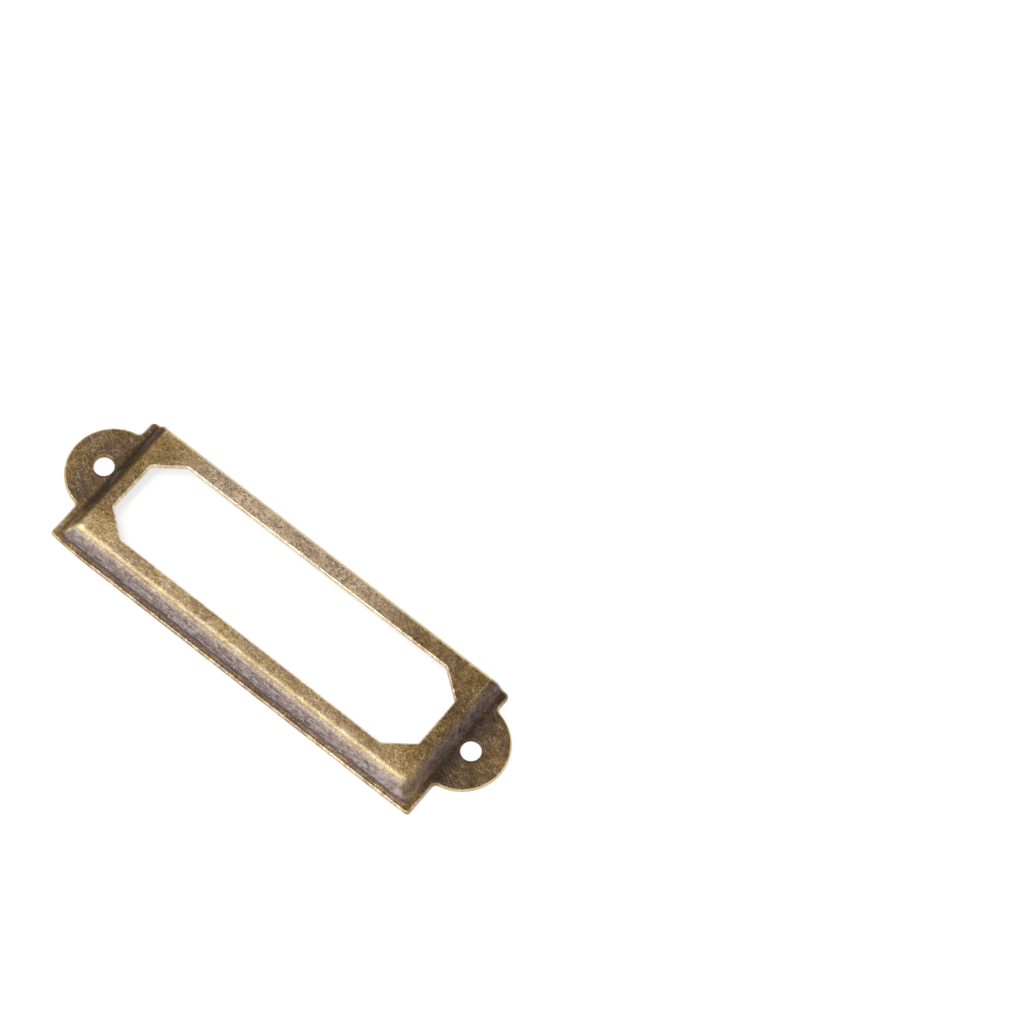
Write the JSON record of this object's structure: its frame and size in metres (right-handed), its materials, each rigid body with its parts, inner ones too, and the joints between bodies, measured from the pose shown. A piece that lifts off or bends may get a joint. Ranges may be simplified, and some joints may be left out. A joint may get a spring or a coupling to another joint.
{
  "type": "drawer label holder",
  "caption": "Stamped sheet frame that screws to a drawer front and holds a paper label behind an eight-sided window, open along one long side.",
  "frame": {"origin": "midway between the two screw holes, on the back that lies on the drawer front", "axes": "+X along the holder from one ear to the other, +Y towards the open long side where the card goes in, +Z out of the drawer front towards the viewer"},
  "size_m": [0.078, 0.0228, 0.0027],
  "materials": {
    "antique_brass": "antique: brown patina, rubbed back to pale gold on bends and edges"
  },
  "bodies": {
    "root": {"label_frame": "antique_brass"}
  },
  "joints": []
}
